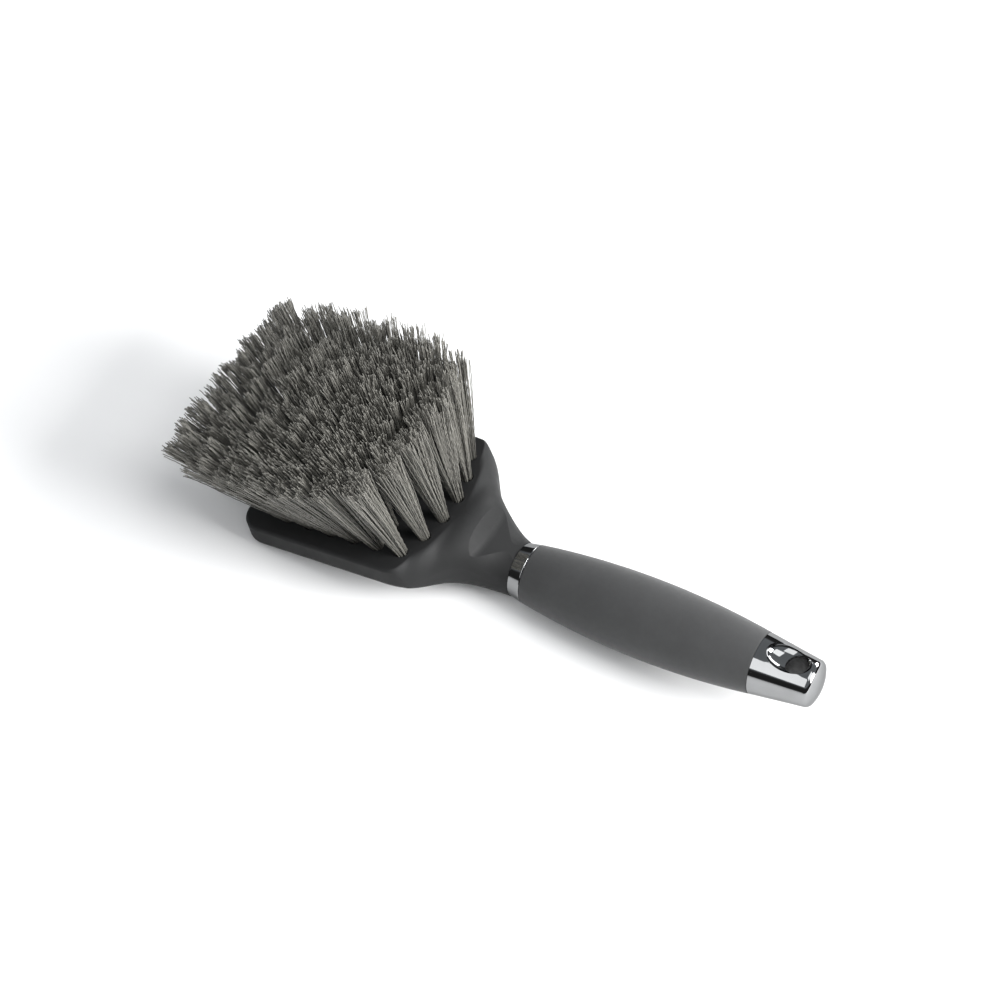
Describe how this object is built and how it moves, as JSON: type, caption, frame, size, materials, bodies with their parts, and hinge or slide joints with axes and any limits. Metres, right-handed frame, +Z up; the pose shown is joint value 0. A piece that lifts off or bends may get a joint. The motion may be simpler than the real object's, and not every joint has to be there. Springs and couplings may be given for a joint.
{
  "type": "wheel brush",
  "caption": "Hand brush for washing wheels: a dense block of flared bristle tufts in a head plate, on a short barrel grip with bright trim and a hanging hole.",
  "frame": {"origin": "on the surface the brush rests on when it lies on its back, under the middle of the whole brush", "axes": "+Z up from that surface, on the bristle side; +X along the brush towards the end cap; +Y across, the plane of symmetry is y = 0"},
  "size_m": [0.3, 0.111, 0.0843],
  "materials": {
    "body_plastic": "black moulded plastic, satin to semi-gloss",
    "plated_trim": "bright plated, polished",
    "soft_grip": "soft-touch, matte, finely textured",
    "plug_plastic": "black moulded plastic, matte",
    "bristle": "crimped filament, warm grey, dull sheen",
    "anchor_wire": "flat drawn wire"
  },
  "bodies": {
    "root": {"brush_body": "body_plastic", "ferrule_ring": "plated_trim", "grip_sleeve": "soft_grip", "end_plug": "plug_plastic", "end_cap": "plated_trim", "tuft_1_left_outer": "bristle", "tuft_1_left_middle": "bristle", "tuft_1_left_inner": "bristle", "tuft_1_right_inner": "bristle", "tuft_1_right_middle": "bristle", "tuft_1_right_outer": "bristle", "tuft_2_left_outer": "bristle", "tuft_2_left_middle": "bristle", "tuft_2_left_inner": "bristle", "tuft_2_right_inner": "bristle", "tuft_2_right_middle": "bristle", "tuft_2_right_outer": "bristle", "tuft_3_left_outer": "bristle", "tuft_3_left_middle": "bristle", "tuft_3_left_inner": "bristle", "tuft_3_right_inner": "bristle", "tuft_3_right_middle": "bristle", "tuft_3_right_outer": "bristle", "tuft_4_left_outer": "bristle", "tuft_4_left_middle": "bristle", "tuft_4_left_inner": "bristle", "tuft_4_right_inner": "bristle", "tuft_4_right_middle": "bristle", "tuft_4_right_outer": "bristle", "tuft_5_left_outer": "bristle", "tuft_5_left_middle": "bristle", "tuft_5_left_inner": "bristle", "tuft_5_right_inner": "bristle", "tuft_5_right_middle": "bristle", "tuft_5_right_outer": "bristle", "tuft_6_left_outer": "bristle", "tuft_6_left_middle": "bristle", "tuft_6_left_inner": "bristle", "tuft_6_right_inner": "bristle", "tuft_6_right_middle": "bristle", "tuft_6_right_outer": "bristle", "tuft_7_left_outer": "bristle", "tuft_7_left_middle": "bristle", "tuft_7_left_inner": "bristle", "tuft_7_right_inner": "bristle", "tuft_7_right_middle": "bristle", "tuft_7_right_outer": "bristle", "anchor_wires_1": "anchor_wire", "anchor_wires_2": "anchor_wire", "anchor_wires_3": "anchor_wire", "anchor_wires_4": "anchor_wire", "anchor_wires_5": "anchor_wire", "anchor_wires_6": "anchor_wire", "anchor_wires_7": "anchor_wire"}
  },
  "joints": []
}
